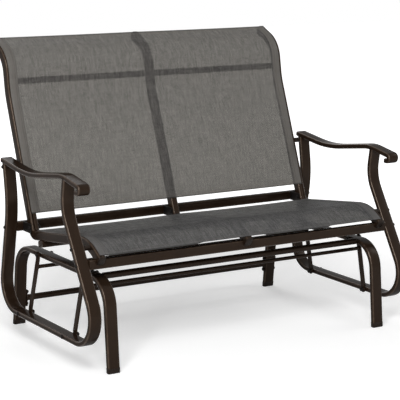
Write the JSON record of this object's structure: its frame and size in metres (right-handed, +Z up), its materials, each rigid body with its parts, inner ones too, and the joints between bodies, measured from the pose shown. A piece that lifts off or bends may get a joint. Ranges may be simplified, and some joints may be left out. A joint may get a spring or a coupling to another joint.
{
  "type": "glider bench",
  "caption": "Sling glider bench: mesh fabric seat and back on bent tube rails, carried by flat-tube arm loops that swing on links hung from hoop-shaped base legs.",
  "frame": {"origin": "middle of the bench's outer box, on the floor", "axes": "+X to the sitter's left as seen from the front, along the bench's length; +Y from the front to the back; +Z up"},
  "size_m": [1.184, 0.7706, 0.9186],
  "materials": {
    "brown_paint": "satin powder coat",
    "black_hardware": "black coated steel",
    "black_bracket": "satin black coat",
    "black_plastic": "moulded matte",
    "spline_plastic": "extruded matte",
    "sling_mesh": "woven coated mesh"
  },
  "bodies": {
    "base": {"base_hoop_left": "brown_paint", "base_hoop_right": "brown_paint", "foot_caps": "black_plastic", "base_front_crossbar": "brown_paint", "base_rear_crossbar": "brown_paint", "upper_pivot_bolts": "black_hardware", "upper_pivot_nuts": "black_hardware", "rear_cross_bolts": "black_hardware", "rear_cross_nuts": "black_hardware", "front_cross_bolts": "black_hardware"},
    "front_swing": {"front_link_left": "brown_paint", "front_link_right": "brown_paint", "front_tie_bar": "brown_paint", "front_bushes": "black_plastic"},
    "rear_swing": {"rear_link_left": "brown_paint", "rear_link_right": "brown_paint", "rear_tie_bar": "brown_paint", "rear_bushes": "black_plastic"},
    "seat_frame": {"armrest_left": "brown_paint", "armrest_right": "brown_paint", "armrest_plugs": "black_plastic", "arm_loop_left": "brown_paint", "arm_loop_right": "brown_paint", "lower_back_crossbar": "brown_paint", "front_seat_crossbar": "brown_paint", "upper_back_crossbar": "brown_paint", "rear_seat_crossbar": "brown_paint", "sling_rail_left": "brown_paint", "sling_rail_centre": "brown_paint", "sling_rail_right": "brown_paint", "rail_end_caps": "black_plastic", "rail_saddles": "black_bracket", "rail_spacers": "black_plastic", "back_sling": "sling_mesh", "seat_sling": "sling_mesh", "back_splines": "spline_plastic", "seat_splines": "spline_plastic", "lower_pivot_bolts": "black_hardware", "lower_pivot_nuts": "black_hardware", "bar_bolts": "black_hardware", "front_spacer_bolts": "black_hardware", "top_spacer_bolts": "black_hardware", "spacer_nuts": "black_hardware", "saddle_bolts": "black_hardware", "saddle_nuts": "black_hardware"}
  },
  "joints": [
    {"name": "rear_glide", "type": "hinge", "parent": "base", "child": "rear_swing", "pos_m": [0, 0.07845, 0.269], "axis": [1, 0, 0], "range_deg": [-12, 12]},
    {"name": "front_glide", "type": "hinge", "parent": "base", "child": "front_swing", "pos_m": [0, -0.21355, 0.269], "axis": [1, 0, 0], "range_deg": [-12, 12]},
    {"name": "seat_level", "type": "hinge", "parent": "rear_swing", "child": "seat_frame", "pos_m": [0, 0.07845, 0.089], "axis": [1, 0, 0], "range_deg": [-12, 12]}
  ],
  "couplings": [
    {"joint": "front_glide", "follows": "rear_glide", "ratio": 1},
    {"joint": "seat_level", "follows": "rear_glide", "ratio": -1}
  ]
}
